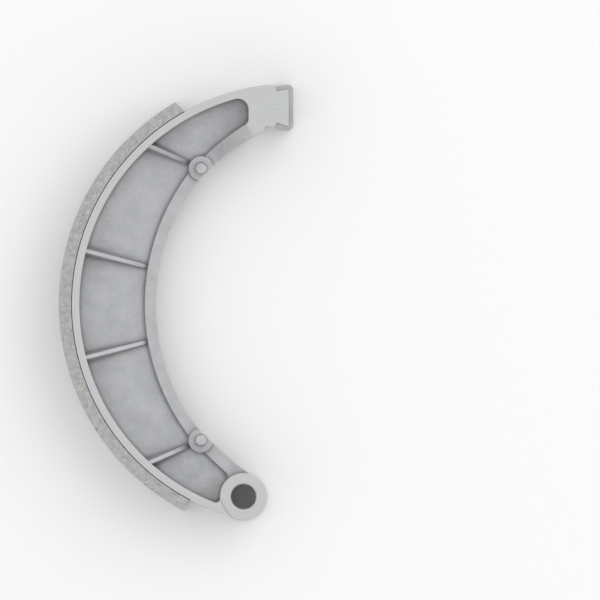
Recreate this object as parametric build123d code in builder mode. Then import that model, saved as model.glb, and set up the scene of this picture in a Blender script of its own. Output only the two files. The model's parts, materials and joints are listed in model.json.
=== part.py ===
from build123d import *

import math
import os

# A drum brake shoe, lying on its side. The origin is the centre of the pivot bore at mid-width,
# +Y runs along the shoe to the cam end, +X towards the hub and +Z along the pivot.
# Sizes are in millimetres and degrees. Angles along the shoe are counted from its middle,
# about the drum's centre, positive towards the cam.

# Drum, and the pivot's place in it: its depth under the drum's face, and its distance from the
# line between the two shoes of a brake
drum_radius = 100.0
pivot_depth = 14.9
pivot_offset = 20.9
shoe_width = 30.0

# Bonded lining
lining_thickness = 5.35
lining_cam_angle = 60.8
lining_cam_bevel = 1.4
lining_anchor_angle = 62.4

# Table that carries the lining, and the web under it
table_thickness = 3.3
web_thickness = 5.0

# Depth of the shoe from the table's face to its hub edge, at stations along it
waist_depth = 36.15
cam_shoulder_angle = 50.0
cam_shoulder_depth = 28.8
cam_arm_angle = 66.0
cam_arm_depth = 24.5
anchor_shoulder_angle = 52.0
anchor_shoulder_depth = 28.1
anchor_arm_angle = 66.0
anchor_arm_depth = 24.1

# Inner rim: its thickness along the drum's radius at the same stations, and its height
rim_waist_thickness = 4.75
rim_shoulder_thickness = 5.25
rim_arm_thickness = 5.8
rim_end_thickness = 6.9
rim_height = 12.0
ramp_start = 8.0
ramp_length = 17.0
ramp_radius = 12.0

# Pivot eye
bore_radius = 5.25
bore_chamfer = 0.5
eye_radius = 10.1
eye_width = 28.0
heel_angle = 71.0
heel_inset = 0.3

# Spring pegs and their bosses, which bulge out of the hub edge
peg_angle = 56.1
peg_edge_gap = 0.4
peg_radius = 2.5
peg_length = 28.0
peg_chamfer = 0.4
peg_wall = 0.7
groove_width = 2.2
groove_depth = 0.4
boss_radius = 5.15
boss_height = 16.0

# Gusset ribs
mid_rib_angle = 14.5
end_rib_angle = 48.0
rib_top_width = 1.65
rib_draft = 7.4
rib_drop = 0.8
rib_toe_height = 1.2
rib_root = 1.6

# Cam block, with the tongue that the slipper grips and the nose below it
block_length = 17.3
block_flat_drop = 0.6
tongue_drop = 1.7
tongue_height = 16.25
nose_setback = 10.2
nose_step = 1.8
nose_radius = 0.2
notch_radius = 0.4

# Slipper
slipper_face_offset = 0.4
slipper_thickness = 1.8
slipper_width = 28.0
slipper_reach = 5.3
slipper_top_slant = 10.0
slipper_bottom_slant = 18.5
slipper_bend_radius = 0.5
slipper_clearance = 0.05

# Corners of the pocket between table and rim
pocket_wall_inset = 1.25
pocket_wall_angle = 158.5
corner_cam_table = 4.6
corner_cam_rim = 3.0
corner_anchor_rim = 3.6
corner_anchor_table = 2.1

# Sizes that follow from those above
table_radius = drum_radius - lining_thickness
pocket_radius = table_radius - table_thickness
waist_radius = table_radius - waist_depth
drum_centre = Vector(pivot_offset, math.sqrt((drum_radius - pivot_depth) ** 2 - pivot_offset**2))
pivot = Vector(0, 0)
beyond = 2 * drum_radius

tongue_front = pivot_offset + slipper_face_offset - slipper_thickness - slipper_clearance
tongue_back = tongue_front - slipper_reach
block_top = drum_centre.Y + table_radius - block_flat_drop
tongue_top = block_top - tongue_drop
tongue_bottom = tongue_top - tongue_height
bottom_rise = slipper_reach * math.tan(math.radians(slipper_bottom_slant))
leg_depth = slipper_thickness * math.cos(math.radians(slipper_bottom_slant))
block_underside = tongue_bottom + bottom_rise - leg_depth
nose_x = tongue_front - nose_setback


def from_drum(radius, angle):
    """Point at a radius from the drum's centre and an angle from the shoe's middle."""
    turn = math.radians(angle)
    return drum_centre + Vector(-radius * math.cos(turn), radius * math.sin(turn))


def from_point(centre, distance, angle):
    """Point at a distance from another, in a direction counted from +X."""
    turn = math.radians(angle)
    return centre + Vector(distance * math.cos(turn), distance * math.sin(turn))


def grip_line(gap):
    """The four corners of the line between tongue and slipper, a gap away from the tongue."""
    front = tongue_front + gap
    reach = front - tongue_back
    top_fall = reach * math.tan(math.radians(slipper_top_slant))
    bottom_climb = reach * math.tan(math.radians(slipper_bottom_slant))
    return [
        Vector(tongue_back, tongue_top + gap - top_fall),
        Vector(front, tongue_top + gap),
        Vector(front, tongue_bottom - gap),
        Vector(tongue_back, tongue_bottom - gap + bottom_climb),
    ]


# Stations of the hub edge and of the rim's pocket side
waist = from_drum(waist_radius, 0)
cam_shoulder = from_drum(table_radius - cam_shoulder_depth, cam_shoulder_angle)
cam_arm = from_drum(table_radius - cam_arm_depth, cam_arm_angle)
nose = Vector(nose_x, block_underside - nose_step)
anchor_shoulder = from_drum(table_radius - anchor_shoulder_depth, -anchor_shoulder_angle)
anchor_arm = from_drum(table_radius - anchor_arm_depth, -anchor_arm_angle)
heel = from_point(pivot, eye_radius - heel_inset, heel_angle)
with BuildLine() as hub_edge:
    ThreePointArc(heel, anchor_arm, anchor_shoulder)
    ThreePointArc(anchor_shoulder, waist, cam_shoulder)
    ThreePointArc(cam_shoulder, cam_arm, nose)


def inside_hub_edge(angle, distance):
    """Point at a distance from the hub edge, towards the lining, at an angle from the middle."""
    ray = Edge.make_line(drum_centre, from_drum(drum_radius, angle))
    crossing = Vector(*hub_edge.line.intersect(ray)[0])
    return crossing + (crossing - drum_centre).normalized() * distance


peg_inset = peg_radius + peg_edge_gap
peg_points = [inside_hub_edge(peg_angle, peg_inset), inside_hub_edge(-peg_angle, peg_inset)]


def across_rim(point, thickness):
    """The point on the rim's pocket side that faces a point of the hub edge."""
    outward = (point - drum_centre).normalized()
    return point + outward * thickness


rim_waist = across_rim(waist, rim_waist_thickness)
rim_cam_shoulder = across_rim(cam_shoulder, rim_shoulder_thickness)
rim_cam_arm = across_rim(cam_arm, rim_arm_thickness)
rim_cam_end = across_rim(nose, rim_end_thickness)
rim_anchor_shoulder = across_rim(anchor_shoulder, rim_shoulder_thickness)
rim_anchor_arm = across_rim(anchor_arm, rim_arm_thickness)
rim_anchor_end = across_rim(heel, rim_end_thickness)

# Seat of the slipper: all that lies outside the tongue, as far back as the legs reach
top_back, top_front, bottom_front, bottom_back = grip_line(0)
top_outward = from_point(top_back, 2 * slipper_thickness, 90 + slipper_top_slant)
bottom_outward = from_point(bottom_back, 2 * slipper_thickness, -90 - slipper_bottom_slant)
seat_far_x = tongue_front + 2 * slipper_reach
with BuildSketch() as slipper_seat:
    with BuildLine():
        FilletPolyline(top_back, top_front, bottom_front, bottom_back, radius=slipper_bend_radius)
        Polyline(
            bottom_back,
            bottom_outward,
            (seat_far_x, bottom_outward.Y),
            (seat_far_x, top_outward.Y),
            top_outward,
            top_back,
        )
    make_face()

# Outline of the casting, seen along the pivot
heel_away = (pivot - drum_centre).normalized() * beyond
with BuildSketch() as outline:
    with BuildLine():
        add(hub_edge.line)
        Polyline(
            nose,
            (nose_x, block_underside),
            (seat_far_x - slipper_reach, block_underside),
            (seat_far_x - slipper_reach, block_top),
            (-beyond, block_top),
            (-beyond, heel_away.Y),
            heel_away,
            pivot,
            heel,
        )
    make_face()
    with Locations(drum_centre):
        Circle(table_radius, mode=Mode.INTERSECT)
    Circle(eye_radius)
    with Locations(*peg_points):
        Circle(peg_radius + peg_wall)
    add(slipper_seat.sketch, mode=Mode.SUBTRACT)
    notch_corner = outline.vertices().sort_by_distance((nose_x, block_underside, 0))[0]
    fillet(notch_corner, radius=notch_radius)
    nose_corner = outline.vertices().sort_by_distance((nose.X, nose.Y, 0))[0]
    fillet(nose_corner, radius=nose_radius)

# Pocket between table and rim, where only the web is left
pocket_wall_x = tongue_front - block_length
pocket_heel = from_point(pivot, eye_radius - pocket_wall_inset, pocket_wall_angle)
with BuildSketch() as pocket:
    with BuildLine():
        ThreePointArc(rim_anchor_end, rim_anchor_arm, rim_anchor_shoulder)
        ThreePointArc(rim_anchor_shoulder, rim_waist, rim_cam_shoulder)
        ThreePointArc(rim_cam_shoulder, rim_cam_arm, rim_cam_end)
        Polyline(
            rim_cam_end,
            (rim_cam_end.X, beyond),
            (-beyond, beyond),
            (-beyond, -beyond),
            (rim_anchor_end.X, -beyond),
            rim_anchor_end,
        )
    make_face()
    with Locations(drum_centre):
        Circle(pocket_radius, mode=Mode.INTERSECT)
    with Locations((pocket_wall_x, 0)):
        Rectangle(beyond, 2 * beyond, align=(Align.MIN, Align.CENTER), mode=Mode.SUBTRACT)
    with Locations(Location((pocket_heel.X, pocket_heel.Y, 0), (0, 0, pocket_wall_angle))):
        Rectangle(beyond, beyond, align=(Align.MAX, Align.CENTER), mode=Mode.SUBTRACT)
    cam_corners = pocket.vertices().sort_by(Axis.X)[-2:].sort_by(Axis.Y)
    fillet(cam_corners[0], radius=corner_cam_rim)
    cam_table_corner = pocket.vertices().sort_by_distance(cam_corners[1])[0]
    fillet(cam_table_corner, radius=corner_cam_table)
    anchor_corners = pocket.vertices().sort_by_distance((0, 0, 0))[:2].sort_by(Axis.Y)
    fillet(anchor_corners[0], radius=corner_anchor_table)
    anchor_rim_corner = pocket.vertices().sort_by_distance(anchor_corners[1])[0]
    fillet(anchor_rim_corner, radius=corner_anchor_rim)
    Circle(eye_radius, mode=Mode.SUBTRACT)

# Rim, arms and cam block in one: the outline without the pocket, as high as its side profile,
# which is low along the rim and ramps up beyond the spring boss to the block's full width
ramp_across = Vector(nose_x, block_underside) - peg_points[0]
ramp_plane = Plane(
    origin=(peg_points[0].X, peg_points[0].Y, 0),
    x_dir=(ramp_across.X, ramp_across.Y, 0),
    z_dir=(ramp_across.Y, -ramp_across.X, 0),
)
ramp_end = ramp_start + ramp_length
rim_top = rim_height / 2
block_side = shoe_width / 2
with BuildPart() as rim_and_block:
    with BuildSketch():
        add(outline.sketch)
        add(pocket.sketch, mode=Mode.SUBTRACT)
    extrude(amount=shoe_width, both=True)
    with BuildSketch(ramp_plane) as side_profile:
        with BuildLine():
            Polyline(
                (-beyond, rim_top),
                (ramp_start, rim_top),
                (ramp_end, block_side),
                (beyond, block_side),
                (beyond, -block_side),
                (ramp_end, -block_side),
                (ramp_start, -rim_top),
                (-beyond, -rim_top),
                close=True,
            )
        make_face()
        ramp_corners = side_profile.vertices().filter_by(
            lambda corner: abs(tuple(corner)[0]) < drum_radius
        )
        fillet(ramp_corners, radius=ramp_radius)
    extrude(amount=beyond, both=True, mode=Mode.INTERSECT)


def rib_section(half_height):
    """Corners of a rib's cross-section, which has draft from its top edges to mid-width."""
    top = rib_top_width / 2
    middle = top + half_height * math.tan(math.radians(rib_draft))
    return [
        (-middle, 0),
        (-top, half_height),
        (top, half_height),
        (middle, 0),
        (top, -half_height),
        (-top, -half_height),
    ]


# Each rib from the table's inner face to the face that it dies into
boss_feet = [from_drum(pocket_radius, end_rib_angle), from_drum(pocket_radius, -end_rib_angle)]
rib_lines = [
    (foot, peg + (foot - peg).normalized() * boss_radius)
    for foot, peg in zip(boss_feet, peg_points)
] + [
    (from_drum(pocket_radius, angle), from_drum(waist_radius + rim_waist_thickness, angle))
    for angle in (mid_rib_angle, -mid_rib_angle)
]
rib_foot_height = shoe_width / 2 - rib_drop
rib_end_height = web_thickness / 2 + rib_toe_height

with BuildPart() as shoe_casting:
    # Web, table with its rounded corner at the eye, and rim
    with BuildSketch():
        add(outline.sketch)
    extrude(amount=web_thickness / 2, both=True)
    with BuildSketch():
        add(outline.sketch)
        add(pocket.sketch, mode=Mode.SUBTRACT)
        with Locations(drum_centre):
            Circle(pocket_radius - 2 * corner_anchor_table, mode=Mode.SUBTRACT)
    extrude(amount=shoe_width / 2, both=True)
    add(rim_and_block.part)
    # Gusset ribs, with their ends sunk into table and rim
    for foot, toe in rib_lines:
        run = (toe - foot).normalized()
        fall = (rib_foot_height - rib_end_height) / (toe - foot).length * rib_root
        root = foot - run * rib_root
        tip = toe + run * rib_root
        with BuildSketch(Plane(origin=root, x_dir=(run.Y, -run.X, 0), z_dir=run)):
            Polygon(*rib_section(min(rib_foot_height + fall, shoe_width / 2)), align=None)
        with BuildSketch(Plane(origin=tip, x_dir=(run.Y, -run.X, 0), z_dir=run)):
            Polygon(*rib_section(rib_end_height - fall), align=None)
        loft(ruled=True)
    # Spring bosses, cut off by the hub edge
    with BuildSketch():
        with Locations(*peg_points):
            Circle(boss_radius)
        add(outline.sketch, mode=Mode.INTERSECT)
    extrude(amount=boss_height / 2, both=True)
    # Pivot eye, faced below the table's side
    Hole(radius=eye_radius)
    with BuildSketch():
        Circle(eye_radius)
    extrude(amount=eye_width / 2, both=True)
    # Pivot bore with chamfered mouths, and peg holes
    eye_side = eye_width / 2
    with BuildSketch(Plane.XZ):
        Polygon(
            (0, -eye_side),
            (bore_radius + bore_chamfer, -eye_side),
            (bore_radius, -eye_side + bore_chamfer),
            (bore_radius, eye_side - bore_chamfer),
            (bore_radius + bore_chamfer, eye_side),
            (0, eye_side),
            align=None,
        )
    revolve(axis=Axis.Z, mode=Mode.SUBTRACT)
    with Locations(*peg_points):
        Hole(radius=peg_radius)
shoe_casting.part.label = "shoe_casting"

# Lining: a ring sector, bonded to the table's face
cam_inner = from_drum(table_radius, lining_cam_angle)
bevel_angle = math.degrees(lining_cam_bevel / drum_radius)
cam_outer = from_drum(drum_radius, lining_cam_angle - bevel_angle)
anchor_inner = from_drum(table_radius, -lining_anchor_angle)
anchor_outer = from_drum(drum_radius, -lining_anchor_angle)
with BuildPart() as friction_lining:
    with BuildSketch():
        with Locations(drum_centre):
            Circle(drum_radius)
            Circle(table_radius, mode=Mode.SUBTRACT)
        with BuildLine():
            Polyline(
                drum_centre,
                cam_inner,
                cam_inner + (cam_outer - cam_inner) * 3,
                (-beyond, beyond),
                (-beyond, -beyond),
                anchor_inner + (anchor_outer - anchor_inner) * 3,
                anchor_inner,
                close=True,
            )
        make_face(mode=Mode.INTERSECT)
    extrude(amount=shoe_width / 2, both=True)
friction_lining.part.label = "friction_lining"

# Slipper: sheet steel bent round the tongue of the cam block
with BuildPart() as cam_slipper:
    with BuildSketch():
        with BuildLine() as grip:
            FilletPolyline(*grip_line(slipper_clearance), radius=slipper_bend_radius)
            offset(amount=slipper_thickness, side=Side.LEFT)
        make_face()
    extrude(amount=slipper_width / 2, both=True)
cam_slipper.part.label = "cam_slipper"

# Spring pegs: turned pins, pressed through the bosses, with a groove for the spring's hook
boss_top = boss_height / 2
peg_top = peg_length / 2
groove_radius = peg_radius - groove_depth
with BuildPart() as peg:
    with BuildSketch(Plane.XZ):
        with BuildLine():
            Polyline(
                (0, 0),
                (peg_radius, 0),
                (peg_radius, boss_top),
                (groove_radius, boss_top),
                (groove_radius, boss_top + groove_width),
                (peg_radius, boss_top + groove_width),
                (peg_radius, peg_top - peg_chamfer),
                (peg_radius - peg_chamfer, peg_top),
                (0, peg_top),
                close=True,
            )
        make_face()
    revolve(axis=Axis.Z)
    mirror(about=Plane.XY)

os.makedirs("parts", exist_ok=True)
export_step(shoe_casting.part, "parts/shoe_casting.step")
export_step(friction_lining.part, "parts/friction_lining.step")
export_step(cam_slipper.part, "parts/cam_slipper.step")
for name, point in zip(("spring_peg_upper", "spring_peg_lower"), peg_points):
    with BuildPart() as spring_peg:
        with Locations(point):
            add(peg.part)
    spring_peg.part.label = name
    export_step(spring_peg.part, f"parts/{name}.step")
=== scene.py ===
"""A drum brake shoe lying on its side, seen from straight above.

The shoe is a pocketed aluminium casting with a bonded lining, a steel slipper on its cam end and
two steel spring pegs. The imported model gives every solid. This script finishes their surfaces,
adds the adhesive that shows along the lining's edges, and sets up floor, light and camera.

Lengths are in metres. The origin is the centre of the pivot bore at mid-width, +Y runs along the
shoe to its cam end, +X towards the hub and +Z along the pivot.
"""

import json
import logging
import math
from dataclasses import dataclass
from enum import Enum

import bpy
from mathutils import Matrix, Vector

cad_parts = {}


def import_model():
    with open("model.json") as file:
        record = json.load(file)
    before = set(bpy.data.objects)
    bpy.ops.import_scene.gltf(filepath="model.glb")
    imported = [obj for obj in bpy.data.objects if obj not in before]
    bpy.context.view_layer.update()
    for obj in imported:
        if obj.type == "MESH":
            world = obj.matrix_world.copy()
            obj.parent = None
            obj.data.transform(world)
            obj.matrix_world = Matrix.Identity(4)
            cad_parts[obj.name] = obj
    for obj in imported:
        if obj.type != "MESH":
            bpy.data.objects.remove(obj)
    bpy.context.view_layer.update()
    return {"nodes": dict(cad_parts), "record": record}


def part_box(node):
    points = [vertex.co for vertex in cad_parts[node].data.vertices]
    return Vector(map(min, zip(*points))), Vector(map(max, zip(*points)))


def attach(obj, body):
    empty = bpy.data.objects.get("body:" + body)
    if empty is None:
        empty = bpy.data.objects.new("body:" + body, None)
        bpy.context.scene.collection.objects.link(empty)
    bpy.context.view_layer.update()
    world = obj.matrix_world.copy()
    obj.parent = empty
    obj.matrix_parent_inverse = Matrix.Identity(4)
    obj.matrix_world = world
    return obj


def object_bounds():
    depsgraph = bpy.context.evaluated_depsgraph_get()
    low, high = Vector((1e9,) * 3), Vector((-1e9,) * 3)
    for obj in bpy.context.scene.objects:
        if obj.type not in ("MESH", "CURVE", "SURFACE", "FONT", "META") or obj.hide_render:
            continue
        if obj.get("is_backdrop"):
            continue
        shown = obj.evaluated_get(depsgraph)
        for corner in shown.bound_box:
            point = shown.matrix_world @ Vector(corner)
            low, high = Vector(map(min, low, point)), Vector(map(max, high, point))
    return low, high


log = logging.getLogger("brake_shoe")

MM = 0.001
PIVOT = Vector((0, 0, 0))

Colour = tuple[float, float, float]
Triple = tuple[float, float, float]
Span = tuple[float, float]
Socket = bpy.types.NodeSocket
Value = Socket | float | Colour

WHITE: Colour = (1.0, 1.0, 1.0)

# What is moulded into the lining.
GRIT: Colour = (0.17, 0.17, 0.17)
FIBRE: Colour = (0.68, 0.675, 0.66)
BRASS: Colour = (0.56, 0.46, 0.27)


class Face(Enum):
    """The shoe's two sides, by the direction that each one faces along the pivot."""

    FRONT = 1
    BACK = -1


class Lay(Enum):
    """The way that the fine lines of a machined or rolled face run."""

    RINGS = "round a centre"
    ALONG_PIVOT = "along the pivot"
    HOOPS = "round an axis along the pivot, side by side"


class Detail(Enum):
    """How many finer layers a noise has on top of its larger blots."""

    SOFT = 2.0
    PLAIN = 3.0
    FINE = 4.0
    FINEST = 5.0


@dataclass(frozen=True)
class ShoeShape:
    """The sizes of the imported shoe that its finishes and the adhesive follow.

    Attributes:
        drum: The centre of the drum that the shoe runs in.
        drum_radius: The radius of the lining's ground face.
        table_radius: The radius of the table's outer face, under the lining.
        half_width: Half the width of table, lining and cam block.
        bore_radius: The radius of the pivot bore.
        eye_radius: The outer radius of the eye round that bore.
        eye_half_width: Half the eye's width.
        lining_anchor_angle: Degrees from mid-shoe to the lining's end near the pivot.
        lining_cam_angle: Degrees from mid-shoe to the lining's end near the cam.
    """

    drum: Vector
    drum_radius: float = 100.0 * MM
    table_radius: float = 94.65 * MM
    half_width: float = 15.0 * MM
    bore_radius: float = 5.25 * MM
    eye_radius: float = 10.1 * MM
    eye_half_width: float = 14.0 * MM
    lining_anchor_angle: float = 62.4
    lining_cam_angle: float = 60.8


class NodeSheet:
    """A node tree, with short calls to add nodes and join them."""

    # A Mix node has its own sockets for each type of data. These are the places of its share,
    # its first and second input, and its output.
    MIX_SOCKETS = {"FLOAT": (0, 2, 3, 0), "RGBA": (0, 6, 7, 2)}

    def __init__(self, tree: bpy.types.NodeTree) -> None:
        """Takes a tree to add to.

        Args:
            tree: The tree.
        """
        self.tree = tree

    def add(self, kind: str, **settings: object) -> bpy.types.Node:
        """Adds a node.

        Args:
            kind: The node's type.
            **settings: Properties to set on it.

        Returns:
            The new node.
        """
        node = self.tree.nodes.new(kind)
        for key, value in settings.items():
            setattr(node, key, value)
        return node

    def join(self, source: Value, target: Socket) -> None:
        """Links an output to an input, or sets the input to a plain value.

        Args:
            source: An output socket, a number or a colour.
            target: The input socket.
        """
        if isinstance(source, Socket):
            self.tree.links.new(source, target)
        elif isinstance(source, tuple):
            target.default_value = (*source, 1.0)
        else:
            target.default_value = source

    def maths(self, operation: str, *values: Value) -> Socket:
        """Adds a Math node.

        Args:
            operation: Its operation.
            *values: Its inputs, in order.

        Returns:
            Its output.
        """
        node = self.add("ShaderNodeMath", operation=operation)
        for value, socket in zip(values, node.inputs):
            self.join(value, socket)
        return node.outputs[0]

    def total(self, *parts: tuple[Socket, float]) -> Socket:
        """Adds values up, each times its weight.

        Args:
            *parts: Pairs of a value and its weight.

        Returns:
            The sum.
        """
        result = 0.0
        for value, weight in parts:
            result = self.maths("MULTIPLY_ADD", value, weight, result)
        return result

    def both(self, first: Value, second: Value) -> Socket:
        """Where two masks both hold, or a share of one mask."""
        return self.maths("MULTIPLY", first, second)

    def either(self, first: Value, second: Value) -> Socket:
        """Where one of two masks holds, or both do."""
        return self.maths("MAXIMUM", first, second)

    def outside(self, mask: Socket) -> Socket:
        """Where a mask doesn't hold."""
        return self.maths("SUBTRACT", 1.0, mask)

    def ramp(self, value: Socket, low: float, high: float) -> Socket:
        """Turns a value into a smooth step.

        Args:
            value: The value to read.
            low: Where the step starts, at 0.
            high: Where the step ends, at 1.

        Returns:
            The step, from 0 to 1.
        """
        node = self.add("ShaderNodeMapRange", interpolation_type="SMOOTHSTEP")
        self.join(value, node.inputs["Value"])
        node.inputs["From Min"].default_value = low
        node.inputs["From Max"].default_value = high
        return node.outputs["Result"]

    def about(self, value: Socket, middle: float, spread: float) -> Socket:
        """Spreads a value from 0 to 1 evenly about another one.

        Args:
            value: The value to read.
            middle: The result at a half.
            spread: How far the result reaches to each side.

        Returns:
            The result.
        """
        return self.maths("MULTIPLY_ADD", value, 2 * spread, middle - spread)

    def mix(self, share: Value, first: Value, second: Value) -> Socket:
        """Mixes two numbers, or two colours.

        Args:
            share: How much of the second one shows.
            first: The first number or colour.
            second: The second number or colour.

        Returns:
            The mixed number or colour.
        """
        kind = "FLOAT"
        for item in (first, second):
            if isinstance(item, tuple) or getattr(item, "type", "") == "RGBA":
                kind = "RGBA"
        node = self.add("ShaderNodeMix", data_type=kind)
        *inputs, output = self.MIX_SOCKETS[kind]
        for value, index in zip((share, first, second), inputs):
            self.join(value, node.inputs[index])
        return node.outputs[output]


class SurfaceSheet(NodeSheet):
    """A new material's node tree, with calls for what the shoe's surfaces have in common.

    Attributes:
        material: The material.
        shader: Its shader.
        place: The point on the piece.
        x, y, z: The three parts of that point.
    """

    # How many times longer than wide the lines of a rolled face are.
    ROLLED_LENGTH = 50.0
    # How far a face must look to one of the shoe's sides to count as a side face.
    ON_SIDE = 0.5
    # The cosine between the true and the rounded direction, at an edge and away from it.
    EDGE_COSINES: Span = (0.80, 0.985)
    # How much of the sky a point sees, in a corner and in the open.
    CORNER_SKY: Span = (0.5, 0.95)
    # How many rays look for edges and corners round a point.
    RAYS = 8

    def __init__(self, name: str) -> None:
        """Starts a material.

        Args:
            name: The material's name.
        """
        self.material = bpy.data.materials.new(name)
        self.material.use_nodes = True
        super().__init__(self.material.node_tree)
        self.shader = self.tree.nodes["Principled BSDF"]
        self.place = self.add("ShaderNodeTexCoord").outputs["Object"]
        split = self.add("ShaderNodeSeparateXYZ")
        self.join(self.place, split.inputs[0])
        self.x, self.y, self.z = split.outputs

    def noise(self, size: float, detail: Detail = Detail.PLAIN, stretch: float = 1.0) -> Socket:
        """Adds a Noise texture.

        Args:
            size: The size of its larger blots.
            detail: How fine it gets.
            stretch: How many times longer the blots are along the pivot.

        Returns:
            Its factor.
        """
        place = self.add("ShaderNodeMapping")
        self.join(self.place, place.inputs["Vector"])
        place.inputs["Scale"].default_value = (1 / size, 1 / size, 1 / (size * stretch))
        node = self.add("ShaderNodeTexNoise")
        self.join(place.outputs[0], node.inputs["Vector"])
        node.inputs["Scale"].default_value = 1.0
        node.inputs["Detail"].default_value = detail.value
        return node.outputs["Fac"]

    def lines(self, lay: Lay, width: float, *centres: Vector) -> Socket:
        """Adds the fine lines that a tool leaves.

        Args:
            lay: The way that they run.
            width: The width of the wider lines.
            *centres: The centres that they run round, of which the nearest counts.

        Returns:
            Their factor, from 0 to 1.
        """
        if lay is Lay.ALONG_PIVOT:
            return self.noise(width, Detail.FINE, self.ROLLED_LENGTH)
        across = self.z
        if lay is Lay.RINGS:
            across = self.nearest(*centres)
        node = self.add("ShaderNodeTexNoise", noise_dimensions="1D")
        self.join(across, node.inputs["W"])
        node.inputs["Scale"].default_value = 1 / width
        node.inputs["Detail"].default_value = Detail.PLAIN.value
        return node.outputs["Fac"]

    def nearest(self, *centres: Vector) -> Socket:
        """Distance from the nearest of some lines along the pivot's direction.

        Args:
            *centres: A point of each line.

        Returns:
            The distance.
        """
        flat = self.add("ShaderNodeCombineXYZ")
        self.join(self.x, flat.inputs["X"])
        self.join(self.y, flat.inputs["Y"])
        result = None
        for centre in centres:
            node = self.add("ShaderNodeVectorMath", operation="DISTANCE")
            self.join(flat.outputs[0], node.inputs[0])
            node.inputs[1].default_value = (centre.x, centre.y, 0)
            distance = node.outputs["Value"]
            result = distance if result is None else self.maths("MINIMUM", result, distance)
        return result

    def side_facing(self) -> Socket:
        """How far the surface faces one of the shoe's two sides.

        Returns:
            1 on a face square to the pivot, and 0 on a wall along it.
        """
        split = self.add("ShaderNodeSeparateXYZ")
        self.join(self.add("ShaderNodeNewGeometry").outputs["True Normal"], split.inputs[0])
        return self.maths("ABSOLUTE", split.outputs["Z"])

    def on_side(self) -> Socket:
        """Where the surface is more of a side face than of a wall."""
        return self.maths("GREATER_THAN", self.side_facing(), self.ON_SIDE)

    def rounded(self, radius: float) -> Socket:
        """The surface's direction, with its edges rounded off.

        Args:
            radius: The edges' radius.

        Returns:
            The direction.
        """
        node = self.add("ShaderNodeBevel", samples=self.RAYS)
        node.inputs["Radius"].default_value = radius
        return node.outputs[0]

    def on_edge(self, rounded: Socket) -> Socket:
        """Where an edge or a corner is near.

        Args:
            rounded: The direction with rounded edges.

        Returns:
            1 at the edge and 0 away from it.
        """
        node = self.add("ShaderNodeVectorMath", operation="DOT_PRODUCT")
        self.join(rounded, node.inputs[0])
        self.join(self.add("ShaderNodeNewGeometry").outputs["True Normal"], node.inputs[1])
        return self.outside(self.ramp(node.outputs["Value"], *self.EDGE_COSINES))

    def in_corner(self, reach: float) -> Socket:
        """Where another surface of the same solid stands close by.

        Args:
            reach: How far the corner reaches.

        Returns:
            1 in the corner and 0 in the open.
        """
        node = self.add("ShaderNodeAmbientOcclusion", samples=self.RAYS, only_local=True)
        node.inputs["Distance"].default_value = reach
        return self.outside(self.ramp(node.outputs["AO"], *self.CORNER_SKY))

    def finish(
        self, colour: Socket, rough: Socket, height: Socket, depth: float, rounded: Socket
    ) -> bpy.types.Material:
        """Joins colour, roughness and relief to the shader.

        Args:
            colour: The base colour.
            rough: The roughness.
            height: The height of the relief, counted in depths.
            depth: The depth that a height of 1 stands for.
            rounded: The direction with rounded edges, on which the relief stands.

        Returns:
            The finished material.
        """
        relief = self.add("ShaderNodeBump")
        relief.inputs["Strength"].default_value = 1.0
        relief.inputs["Distance"].default_value = depth
        self.join(height, relief.inputs["Height"])
        self.join(rounded, relief.inputs["Normal"])
        self.join(relief.outputs[0], self.shader.inputs["Normal"])
        self.join(colour, self.shader.inputs["Base Color"])
        self.join(rough, self.shader.inputs["Roughness"])
        return self.material


@dataclass(frozen=True)
class Cuts:
    """Where the casting is machined: masks, each from 0 to 1.

    Attributes:
        eye: All of the eye, its cast walls too.
        hooped: The bore and the table's outer face, which are cut round an axis.
        machined: All that is machined.
    """

    eye: Socket
    hooped: Socket
    machined: Socket


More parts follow.
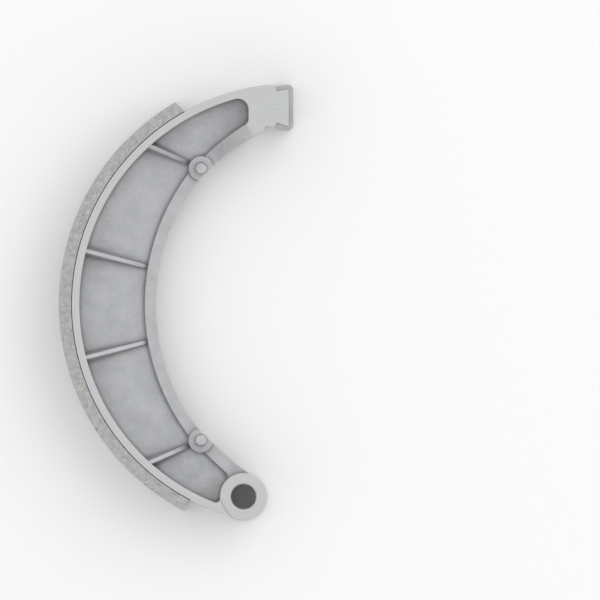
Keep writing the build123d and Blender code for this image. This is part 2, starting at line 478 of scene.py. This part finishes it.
@dataclass(frozen=True)
class CastAlloy:
    """Die-cast aluminium: a blasted skin, worn edges with a painted highlight, painted corner shade,
    and machined faces.

    Attributes:
        skin: The colour of the blasted skin.
        patch: The skin's duller patches.
        speck: The skin's small dark specks.
        root: The colour of the painted shade in corners.
        burnish_and_highlight: The bare metal of worn edges, made brighter as a painted highlight.
        cut: The machined metal.
        line: The darker of the tool's lines.
        metallic: How metallic it looks, with its thin skin.
        skin_roughness: The skin's roughness.
        cut_roughness: The machined faces' roughness.
        roughness_spread: How far both roughnesses stray.
        patch_size: The size of the patches.
        patch_span: The patches' noise where they begin and where they are full.
        ripple_size: The size of the skin's shallow ripples.
        grain_size: The size of the blasted grain.
        speck_span: The grain's noise where a speck begins and where it is full.
        line_width: The width of the tool's lines.
        line_span: The lines' noise from bright to dark.
        burnish_and_highlight_share: How much of that worn metal and painted highlight shows on an
            edge.
        skin_corner_shade_share: How much of the painted shade shows in a corner of the skin.
        cut_corner_shade_share: The same, on a machined face.
        seam_width: Half the width of the parting line's foot.
        seam_crest: Half the width of its crest.
        run_out: How far below a machined side its cut fades out.
        flat_facing: How far a face must look to the side to count as milled.
        eye_margin: How far past its radius a point still counts as on the eye.
        bore_margin: The same for the bore, whose broken edges count too.
        table_margin: How far inside its radius a point still counts as on the table's face.
        corner_reach: How far the painted corner shade reaches out of a corner.
        relief: The depth that a height of 1 stands for.
        grain_height: The grain's height.
        ripple_height: The ripples' height.
        seam_height: The parting line's height.
        line_height: The height of the tool's lines.
        round_edges: The radius of the edges.
    """

    skin: Colour = (0.49, 0.495, 0.505)
    patch: Colour = (0.435, 0.44, 0.45)
    speck: Colour = (0.40, 0.405, 0.415)
    # Painted shade: the colour that corners are darkened towards, where little sky reaches them.
    root: Colour = (0.24, 0.245, 0.255)
    # Worn bare metal on the edges, made bright as a painted highlight too.
    burnish_and_highlight: Colour = (0.64, 0.645, 0.65)
    cut: Colour = (0.56, 0.565, 0.57)
    line: Colour = (0.485, 0.49, 0.495)
    metallic: float = 0.9
    skin_roughness: float = 0.55
    cut_roughness: float = 0.48
    roughness_spread: float = 0.08
    patch_size: float = 7.0 * MM
    patch_span: Span = (0.35, 0.7)
    ripple_size: float = 1.8 * MM
    grain_size: float = 0.55 * MM
    speck_span: Span = (0.5, 0.75)
    line_width: float = 0.35 * MM
    line_span: Span = (0.3, 0.7)
    burnish_and_highlight_share: float = 0.8
    skin_corner_shade_share: float = 0.8
    cut_corner_shade_share: float = 0.5
    seam_width: float = 0.22 * MM
    seam_crest: float = seam_width / 3
    run_out: float = 0.3 * MM
    flat_facing: Span = (0.985, 0.997)
    eye_margin: float = 0.05 * MM
    bore_margin: float = 0.8 * MM
    table_margin: float = 0.06 * MM
    corner_reach: float = 2.5 * MM
    relief: float = 0.06 * MM
    grain_height: float = 0.55
    ripple_height: float = 0.9
    seam_height: float = 1.6
    line_height: float = 0.1
    round_edges: float = 0.45 * MM

    def find_cuts(self, sheet: SurfaceSheet, shape: ShoeShape) -> Cuts:
        """Tells the machined faces from the cast ones, by their place and direction.

        Args:
            sheet: The material's nodes.
            shape: The shoe's sizes.

        Returns:
            The masks of the machined faces.
        """
        from_pivot = sheet.nearest(PIVOT)
        from_drum = sheet.nearest(shape.drum)
        eye = sheet.maths("LESS_THAN", from_pivot, shape.eye_radius + self.eye_margin)
        bored = sheet.maths("LESS_THAN", from_pivot, shape.bore_radius + self.bore_margin)
        turned = sheet.maths("GREATER_THAN", from_drum, shape.table_radius - self.table_margin)
        hooped = sheet.both(sheet.outside(sheet.on_side()), sheet.either(bored, turned))
        side_level = sheet.mix(eye, shape.half_width, shape.eye_half_width)
        below_side = sheet.maths("SUBTRACT", side_level, sheet.maths("ABSOLUTE", sheet.z))
        level = sheet.outside(sheet.ramp(below_side, 0.0, self.run_out))
        milled = sheet.both(sheet.ramp(sheet.side_facing(), *self.flat_facing), level)
        return Cuts(eye=eye, hooped=hooped, machined=sheet.either(milled, hooped))

    def tool_lines(self, sheet: SurfaceSheet, shape: ShoeShape, cuts: Cuts) -> Socket:
        """Draws the lines that each machined face has from its own tool.

        Args:
            sheet: The material's nodes.
            shape: The shoe's sizes.
            cuts: The masks of the machined faces.

        Returns:
            The lines' factor, from 0 to 1.
        """
        rings = sheet.lines(Lay.RINGS, self.line_width, PIVOT)
        sweep = sheet.lines(Lay.RINGS, self.line_width, shape.drum)
        hoops = sheet.lines(Lay.HOOPS, self.line_width)
        return sheet.mix(cuts.hooped, sheet.mix(cuts.eye, sweep, rings), hoops)

    def skin_colour(self, sheet: SurfaceSheet, grain: Socket, edge: Socket) -> Socket:
        """Colours the blasted skin.

        Args:
            sheet: The material's nodes.
            grain: The blasted grain.
            edge: The mask of the worn edges, which also carry a painted highlight.

        Returns:
            The colour.
        """
        patches = sheet.ramp(sheet.noise(self.patch_size, Detail.FINE), *self.patch_span)
        colour = sheet.mix(patches, self.skin, self.patch)
        colour = sheet.mix(sheet.ramp(grain, *self.speck_span), colour, self.speck)
        # Every edge is brightened alike: partly worn metal, partly a painted highlight.
        return sheet.mix(sheet.both(edge, self.burnish_and_highlight_share), colour, self.burnish_and_highlight)

    def build(self, shape: ShoeShape) -> bpy.types.Material:
        """Builds the material.

        Args:
            shape: The shoe's sizes, which tell the machined faces from the cast ones.

        Returns:
            The material.
        """
        sheet = SurfaceSheet("cast_alloy")
        rounded = sheet.rounded(self.round_edges)
        # An ambient-occlusion corner mask: it paints shade into corners and keeps the edge highlight
        # out of them.
        corner = sheet.in_corner(self.corner_reach)
        edge = sheet.both(sheet.on_edge(rounded), sheet.outside(corner))
        grain = sheet.noise(self.grain_size, Detail.FINE)
        ripple = sheet.noise(self.ripple_size, Detail.SOFT)
        cuts = self.find_cuts(sheet, shape)
        lines = self.tool_lines(sheet, shape, cuts)

        bright = sheet.mix(sheet.ramp(lines, *self.line_span), self.cut, self.line)
        clean = sheet.mix(cuts.machined, self.skin_colour(sheet, grain, edge), bright)
        corner_shade_share = sheet.mix(cuts.machined, self.skin_corner_shade_share, self.cut_corner_shade_share)
        # Painted shade: corners that see little sky are darkened towards root, less on machined faces.
        colour = sheet.mix(sheet.both(corner, corner_shade_share), clean, self.root)

        skin_rough = sheet.about(ripple, self.skin_roughness, self.roughness_spread)
        cut_rough = sheet.about(lines, self.cut_roughness, self.roughness_spread)
        rough = sheet.mix(cuts.machined, skin_rough, cut_rough)

        off_middle = sheet.maths("ABSOLUTE", sheet.z)
        seam = sheet.outside(sheet.ramp(off_middle, self.seam_crest, self.seam_width))
        seam = sheet.both(seam, sheet.outside(sheet.on_side()))
        blasted = sheet.total(
            (grain, self.grain_height), (ripple, self.ripple_height), (seam, self.seam_height)
        )
        relief = sheet.mix(cuts.machined, blasted, sheet.both(lines, self.line_height))
        sheet.shader.inputs["Metallic"].default_value = self.metallic
        return sheet.finish(colour, rough, relief, self.relief, rounded)


@dataclass(frozen=True)
class Grains:
    """One kind of grain in a moulded material, turned one way, of uneven size and outline.

    Attributes:
        tint: Its colour.
        spacing: The distance between the places that may hold a grain.
        share: How many of those places hold one.
        length: How many times longer than wide a grain is.
        turn: The angles by which the grains are turned, in radians.
        smallest: The smallest grain's radius, as a share of the spacing.
        largest: The largest grain's radius, as a share of the spacing.
        soft_rim: How far a grain's rim fades to each side, as a share of the spacing.
        wobble: How far its outline strays, as a share of the spacing.
        wobble_rate: How often its outline strays in one spacing.
    """

    tint: Colour
    spacing: float
    share: float
    length: float
    turn: Triple
    smallest: float = 0.12
    largest: float = 0.40
    soft_rim: float = 0.06
    wobble: float = 0.8
    wobble_rate: float = 1.6

    def uneven_place(self, sheet: SurfaceSheet) -> Socket:
        """Turns and stretches the point on the piece to the grains' own lie, and wobbles it.

        Args:
            sheet: The material's nodes.

        Returns:
            The point, counted in spacings.
        """
        lie = sheet.add("ShaderNodeMapping", vector_type="TEXTURE")
        sheet.join(sheet.place, lie.inputs["Vector"])
        lie.inputs["Rotation"].default_value = self.turn
        lie.inputs["Scale"].default_value = (self.spacing, self.spacing, self.spacing * self.length)
        stray = sheet.add("ShaderNodeTexNoise")
        sheet.join(lie.outputs[0], stray.inputs["Vector"])
        stray.inputs["Scale"].default_value = self.wobble_rate
        uneven = sheet.add("ShaderNodeVectorMath", operation="MULTIPLY_ADD")
        sheet.join(stray.outputs["Color"], uneven.inputs[0])
        uneven.inputs[1].default_value = (self.wobble, self.wobble, self.wobble)
        sheet.join(lie.outputs[0], uneven.inputs[2])
        return uneven.outputs[0]

    def scatter(self, sheet: SurfaceSheet, colour: Socket) -> Socket:
        """Scatters the grains over a colour.

        Args:
            sheet: The material's nodes.
            colour: The colour between the grains.

        Returns:
            The colour with the grains in it.
        """
        cells = sheet.add("ShaderNodeTexVoronoi")
        sheet.join(self.uneven_place(sheet), cells.inputs["Vector"])
        cells.inputs["Scale"].default_value = 1.0
        chance = sheet.add("ShaderNodeSeparateXYZ")
        sheet.join(cells.outputs["Color"], chance.inputs[0])
        chosen = sheet.maths("LESS_THAN", chance.outputs["X"], self.share)
        size_range = self.largest - self.smallest
        radius = sheet.maths("MULTIPLY_ADD", chance.outputs["Y"], size_range, self.smallest)
        past_rim = sheet.maths("SUBTRACT", cells.outputs["Distance"], radius)
        within = sheet.outside(sheet.ramp(past_rim, -self.soft_rim, self.soft_rim))
        return sheet.mix(sheet.both(chosen, within), colour, self.tint)


@dataclass(frozen=True)
class MouldedLining:
    """Moulded friction material: grey resin with dark grit, pale fibres and brass chips.

    Attributes:
        body: The resin's colour.
        shade: Its darker clouds.
        mark: The score marks on the ground face.
        grains: What is moulded in: coarse and fine grit, fibres that lie three ways, and brass.
        roughness: The middle roughness.
        roughness_spread: How far it strays.
        cloud_size: The size of the clouds.
        cloud_span: The clouds' noise where they begin and where they are full.
        mark_width: The width of the score marks.
        mark_span: The marks' noise where one begins and where it is full.
        mark_share: How much of a mark's colour shows.
        ground_depth: How far below the ground face a point still counts as on it.
        pore_size: The size of the pores.
        relief: The depth that a height of 1 stands for.
        pore_height: The pores' height.
        mark_height: The score marks' height.
        round_edges: The radius of the edges.
    """

    body: Colour = (0.46, 0.46, 0.455)
    shade: Colour = (0.385, 0.385, 0.38)
    mark: Colour = (0.36, 0.36, 0.355)
    grains: tuple[Grains, ...] = (
        Grains(GRIT, spacing=0.75 * MM, share=0.16, length=1.3, turn=(0.5, 0.8, 0.3)),
        Grains(GRIT, spacing=0.32 * MM, share=0.20, length=1.2, turn=(0.9, 0.2, 0.6)),
        Grains(FIBRE, spacing=0.42 * MM, share=0.07, length=5.0, turn=(0.4, 0.9, 0.2)),
        Grains(FIBRE, spacing=0.42 * MM, share=0.07, length=5.0, turn=(1.3, 0.3, 0.8)),
        Grains(FIBRE, spacing=0.42 * MM, share=0.07, length=5.0, turn=(2.0, -0.6, 1.9)),
        Grains(BRASS, spacing=0.90 * MM, share=0.035, length=1.6, turn=(0.2, 1.1, 0.7)),
    )
    roughness: float = 0.82
    roughness_spread: float = 0.08
    cloud_size: float = 2.5 * MM
    cloud_span: Span = (0.35, 0.65)
    mark_width: float = 0.6 * MM
    mark_span: Span = (0.55, 0.75)
    mark_share: float = 0.6
    ground_depth: float = 0.2 * MM
    pore_size: float = 0.5 * MM
    relief: float = 0.05 * MM
    pore_height: float = 1.0
    mark_height: float = 1.4
    round_edges: float = 0.25 * MM

    def build(self, shape: ShoeShape) -> bpy.types.Material:
        """Builds the material.

        Args:
            shape: The shoe's sizes, which tell the ground face from the others.

        Returns:
            The material.
        """
        sheet = SurfaceSheet("moulded_lining")
        from_drum = sheet.nearest(shape.drum)
        ground = sheet.maths("GREATER_THAN", from_drum, shape.drum_radius - self.ground_depth)
        clouds = sheet.ramp(sheet.noise(self.cloud_size, Detail.FINEST), *self.cloud_span)
        colour = sheet.mix(clouds, self.body, self.shade)
        for grains in self.grains:
            colour = grains.scatter(sheet, colour)
        marks = sheet.lines(Lay.HOOPS, self.mark_width)
        scored = sheet.both(ground, sheet.ramp(marks, *self.mark_span))
        colour = sheet.mix(sheet.both(scored, self.mark_share), colour, self.mark)
        pores = sheet.noise(self.pore_size, Detail.FINE)
        rough = sheet.about(pores, self.roughness, self.roughness_spread)
        relief = sheet.total((pores, self.pore_height), (sheet.both(marks, ground), self.mark_height))
        return sheet.finish(colour, rough, relief, self.relief, sheet.rounded(self.round_edges))


@dataclass(frozen=True)
class Steel:
    """Bare steel with the fine lines of its rolling or turning.

    Attributes:
        name: The material's name.
        lay: The way that its lines run.
        tint: Its colour.
        shade: Its duller lines and clouds.
        worn: The bright metal on its edges.
        roughness: The middle roughness.
        roughness_spread: How far it strays.
        line_width: The width of the lines.
        cloud_size: The size of the clouds.
        line_weight: How much the lines count among what is dull, and the clouds the rest.
        dull_span: The sum of both from bright to dull.
        worn_share: How much of the bright metal shows on an edge.
        relief: The depth of the lines.
        round_edges: The radius of the edges.
    """

    name: str
    lay: Lay
    tint: Colour = (0.44, 0.445, 0.455)
    shade: Colour = (0.36, 0.365, 0.38)
    worn: Colour = (0.60, 0.605, 0.615)
    roughness: float = 0.32
    roughness_spread: float = 0.1
    line_width: float = 0.3 * MM
    cloud_size: float = 6.0 * MM
    line_weight: float = 0.6
    dull_span: Span = (0.35, 0.65)
    worn_share: float = 0.6
    relief: float = 0.006 * MM
    round_edges: float = 0.2 * MM

    def build(self, *centres: Vector) -> bpy.types.Material:
        """Builds the material.

        Args:
            *centres: The centres of its rings, if its lines run round.

        Returns:
            The material.
        """
        sheet = SurfaceSheet(self.name)
        rounded = sheet.rounded(self.round_edges)
        lines = sheet.lines(self.lay, self.line_width, *centres)
        if self.lay is Lay.RINGS:
            # The rings are on the ends, and on the walls the same tool leaves hoops.
            hoops = sheet.lines(Lay.HOOPS, self.line_width)
            lines = sheet.mix(sheet.on_side(), hoops, lines)
        clouds = sheet.noise(self.cloud_size)
        dull = sheet.total((lines, self.line_weight), (clouds, 1 - self.line_weight))
        colour = sheet.mix(sheet.ramp(dull, *self.dull_span), self.tint, self.shade)
        edge = sheet.both(sheet.on_edge(rounded), self.worn_share)
        colour = sheet.mix(edge, colour, self.worn)
        rough = sheet.about(lines, self.roughness, self.roughness_spread)
        sheet.shader.inputs["Metallic"].default_value = 1.0
        return sheet.finish(colour, rough, lines, self.relief, rounded)


@dataclass(frozen=True)
class Adhesive:
    """Cured bonding adhesive: dark brown and a little glossy.

    Attributes:
        tint: Its colour.
        shade: Its darker blots.
        roughness: The middle roughness.
        roughness_spread: How far it strays.
        blot_size: The size of the blots.
        blot_span: The blots' noise where they begin and where they are full.
        relief: The blots' height.
        round_edges: The radius of the edges.
    """

    tint: Colour = (0.075, 0.06, 0.05)
    shade: Colour = (0.045, 0.038, 0.034)
    roughness: float = 0.45
    roughness_spread: float = 0.1
    blot_size: float = 1.2 * MM
    blot_span: Span = (0.4, 0.6)
    relief: float = 0.03 * MM
    round_edges: float = 0.05 * MM

    def build(self) -> bpy.types.Material:
        """Builds the material.

        Returns:
            The material.
        """
        sheet = SurfaceSheet("bonding_adhesive")
        blots = sheet.noise(self.blot_size)
        colour = sheet.mix(sheet.ramp(blots, *self.blot_span), self.tint, self.shade)
        rough = sheet.about(blots, self.roughness, self.roughness_spread)
        return sheet.finish(colour, rough, blots, self.relief, sheet.rounded(self.round_edges))


@dataclass
class BrakeShoe:
    """The casting with its lining, slipper and pegs, and the adhesive between the first two.

    Attributes:
        nodes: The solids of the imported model, by name.
        shape: The shoe's sizes.
        casting: The casting's finish.
        lining: The lining's finish.
        slipper: The slipper's finish.
        pegs: The spring pegs' finish.
        adhesive: The adhesive's finish.
        bead_width: How wide the bead of adhesive is.
        bead_rise: How far it stands out of the shoe's side.
        bead_sides: How many corners its section has.
        bead_steps: How many steps it takes along the lining.
        bead_merge: How close two points are that the sweep made twice.
        bead_smooth: The sharpest corner that is shaded smooth, in degrees.
    """

    nodes: dict[str, bpy.types.Object]
    shape: ShoeShape
    casting: CastAlloy = CastAlloy()
    lining: MouldedLining = MouldedLining()
    slipper: Steel = Steel("rolled_steel", Lay.ALONG_PIVOT)
    pegs: Steel = Steel("turned_steel", Lay.RINGS, tint=(0.56, 0.565, 0.57), roughness=0.28)
    adhesive: Adhesive = Adhesive()
    bead_width: float = 0.42 * MM
    bead_rise: float = 0.08 * MM
    bead_sides: int = 10
    bead_steps: int = 140
    bead_merge: float = 0.001 * MM
    bead_smooth: float = 60.0

    def dress(self, name: str, material: bpy.types.Material) -> None:
        """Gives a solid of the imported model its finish.

        Args:
            name: The solid's name.
            material: The finish.
        """
        for slot in self.nodes[name].material_slots:
            slot.material = material
        log.info("%s: %s", name, material.name)

    def dress_solids(self) -> None:
        """Finishes the casting, the lining, the slipper and the pegs."""
        self.dress("shoe_casting", self.casting.build(self.shape))
        self.dress("friction_lining", self.lining.build(self.shape))
        self.dress("cam_slipper", self.slipper.build())
        names = ("spring_peg_upper", "spring_peg_lower")
        centres = [sum(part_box(name), Vector()) / 2 for name in names]
        turned_steel = self.pegs.build(*centres)
        for name in names:
            self.dress(name, turned_steel)

    def add_section(self, face: Face) -> bpy.types.Object:
        """Draws the bead's section, a flat oval across the joint at the lining's anchor end.

        Args:
            face: The side of the shoe that it shows on.

        Returns:
            The bead so far, in edit mode.
        """
        turn = math.radians(self.shape.lining_anchor_angle)
        start = self.shape.drum - Vector((math.cos(turn), math.sin(turn), 0)) * self.shape.table_radius
        start.z = face.value * self.shape.half_width
        bpy.ops.object.select_all(action="DESELECT")
        bpy.ops.mesh.primitive_circle_add(
            vertices=self.bead_sides,
            radius=self.bead_width / 2,
            fill_type="NOTHING",
            location=start,
            rotation=(math.pi / 2, 0, turn),
        )
        bead = bpy.context.active_object
        bead.name = f"bond_line_{face.name.lower()}"
        bpy.ops.object.transform_apply(location=True, rotation=True, scale=True)
        bpy.ops.object.mode_set(mode="EDIT")
        bpy.ops.mesh.select_all(action="SELECT")
        flatten = 2 * self.bead_rise / self.bead_width
        bpy.ops.transform.resize(value=(1, 1, flatten), center_override=start)
        return bead

    def sweep_section(self) -> None:
        """Sweeps the section round the drum's centre to the lining's cam end."""
        bpy.ops.mesh.spin(
            steps=self.bead_steps,
            angle=-math.radians(self.shape.lining_anchor_angle + self.shape.lining_cam_angle),
            center=(self.shape.drum.x, self.shape.drum.y, 0),
            axis=(0, 0, -1),
        )
        bpy.ops.mesh.select_all(action="SELECT")
        bpy.ops.mesh.remove_doubles(threshold=self.bead_merge)

    def close_ends(self) -> None:
        """Closes both ends of the bead, turns its faces outwards and leaves edit mode."""
        bpy.ops.mesh.select_all(action="DESELECT")
        bpy.ops.mesh.select_non_manifold(extend=False)
        bpy.ops.mesh.fill_holes(sides=0)
        bpy.ops.mesh.select_all(action="SELECT")
        bpy.ops.mesh.normals_make_consistent(inside=False)
        bpy.ops.object.mode_set(mode="OBJECT")
        bpy.ops.object.shade_smooth_by_angle(angle=math.radians(self.bead_smooth))

    def add_beads(self) -> None:
        """Models the thin bead of adhesive between lining and table, on both sides."""
        material = self.adhesive.build()
        for face in Face:
            bead = self.add_section(face)
            self.sweep_section()
            self.close_ends()
            bead.data.materials.append(material)
            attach(bead, "root")
            log.info("%s: %d faces", bead.name, len(bead.data.polygons))

    def build(self) -> None:
        """Finishes the solids and adds the adhesive."""
        self.dress_solids()
        self.add_beads()


@dataclass(frozen=True)
class Lamp:
    """A square soft lamp.

    Attributes:
        name: Its name.
        place: Where it hangs.
        size: The length of its side.
        power: Its power, in watts.
    """

    name: str
    place: Triple
    size: float
    power: float

    def hang(self, target: Vector) -> None:
        """Hangs the lamp.

        Args:
            target: The point that it shines at.
        """
        bpy.ops.object.light_add(type="AREA", location=self.place)
        lamp = bpy.context.active_object
        lamp.name = self.name
        lamp.data.shape = "SQUARE"
        lamp.data.size = self.size
        lamp.data.energy = self.power
        aim = target - Vector(self.place)
        lamp.rotation_euler = aim.to_track_quat("-Z", "Y").to_euler()


@dataclass
class Studio:
    """Floor, light and camera.

    Attributes:
        floor_height: The height of the floor, under the shoe.
        view_centre: The point in the middle of the view.
        view_width: The width of the view.
        camera_height: How high the camera stands.
        near: The nearest distance that the camera sees.
        far: The farthest distance that the camera sees.
        floor_size: The length of the floor's side.
        floor_colour: The floor's colour where it lights the shoe.
        floor_shown: The floor's colour to the eye and in metal.
        floor_roughness: The floor's roughness.
        ambient: The strength of the even light from all round.
        backdrop: How bright the world shows past the floor's edge, to match the floor.
        lamps: The lamps.
    """

    floor_height: float
    view_centre: tuple[float, float] = (24.23 * MM, 84.31 * MM)
    view_width: float = 257.3 * MM
    camera_height: float = 1.2
    near: float = 0.01
    far: float = 50.0
    floor_size: float = 30.0
    floor_colour: Colour = (0.86, 0.86, 0.86)
    floor_shown: Colour = WHITE
    floor_roughness: float = 0.9
    ambient: float = 0.80
    backdrop: float = 0.96
    lamps: tuple[Lamp, ...] = (
        Lamp("key_lamp", place=(1.7, 1.3, 2.5), size=3.0, power=25.0),
        Lamp("fill_lamp", place=(-2.25, -0.75, 2.55), size=2.7, power=4.0),
    )

    @staticmethod
    def shows_backdrop(sheet: NodeSheet) -> Socket:
        """Where a ray shows the backdrop, to the eye or in metal, instead of lighting with it.

        Args:
            sheet: The nodes to add to.

        Returns:
            1 for such a ray and 0 for others.
        """
        rays = sheet.add("ShaderNodeLightPath").outputs
        reflected = sheet.either(rays["Is Glossy Ray"], rays["Is Transmission Ray"])
        return sheet.either(rays["Is Camera Ray"], reflected)

    def add_floor(self) -> None:
        """Lays a plain pale floor without gloss under the shoe."""
        bpy.ops.object.select_all(action="DESELECT")
        bpy.ops.mesh.primitive_plane_add(size=self.floor_size, location=(0, 0, self.floor_height))
        floor = bpy.context.active_object
        floor.name = "studio_floor"
        sheet = SurfaceSheet("studio_floor")
        colour = sheet.mix(self.shows_backdrop(sheet), self.floor_colour, self.floor_shown)
        sheet.join(colour, sheet.shader.inputs["Base Color"])
        sheet.shader.inputs["Roughness"].default_value = self.floor_roughness
        sheet.shader.inputs["Specular IOR Level"].default_value = 0.0
        floor.data.materials.append(sheet.material)
        floor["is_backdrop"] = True

    def add_world(self) -> None:
        """Lights the shoe evenly from all round, and shows the floor's white past its edge."""
        world = bpy.data.worlds.new("studio_world")
        bpy.context.scene.world = world
        world.use_nodes = True
        sheet = NodeSheet(world.node_tree)
        strength = sheet.mix(self.shows_backdrop(sheet), self.ambient, self.backdrop)
        back = sheet.tree.nodes["Background"]
        sheet.join(WHITE, back.inputs["Color"])
        sheet.join(strength, back.inputs["Strength"])

    def add_camera(self) -> None:
        """Sets the camera straight above, with the frame of the drawing."""
        x, y = self.view_centre
        bpy.ops.object.camera_add(location=(x, y, self.camera_height), rotation=(0, 0, 0))
        camera = bpy.context.active_object
        camera.data.type = "ORTHO"
        camera.data.ortho_scale = self.view_width
        camera.data.clip_start = self.near
        camera.data.clip_end = self.far
        bpy.context.scene.camera = camera

    def build(self) -> None:
        """Builds the whole studio."""
        self.add_floor()
        self.add_world()
        for lamp in self.lamps:
            lamp.hang(Vector((*self.view_centre, 0)))
        self.add_camera()
        bpy.context.scene.view_settings.view_transform = "Standard"
        log.info("floor at %.2f mm", self.floor_height / MM)


def main() -> None:
    """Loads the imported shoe, finishes it and sets up the studio."""
    logging.basicConfig(level=logging.INFO, format="%(name)s: %(message)s")
    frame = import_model()
    lining_low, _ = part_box("friction_lining")
    mounts = {mount["name"]: mount for mount in frame["record"]["mounts"]}
    middle = mounts["friction_face"]["pos_m"][1]
    shape = ShoeShape(drum=Vector((lining_low.x + ShoeShape.drum_radius, middle, 0)))
    BrakeShoe(frame["nodes"], shape).build()
    low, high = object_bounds()
    Studio(floor_height=low.z).build()
    log.info("shoe: %.1f x %.1f x %.1f mm", *((high - low) / MM))


if __name__ == "__main__":
    main()
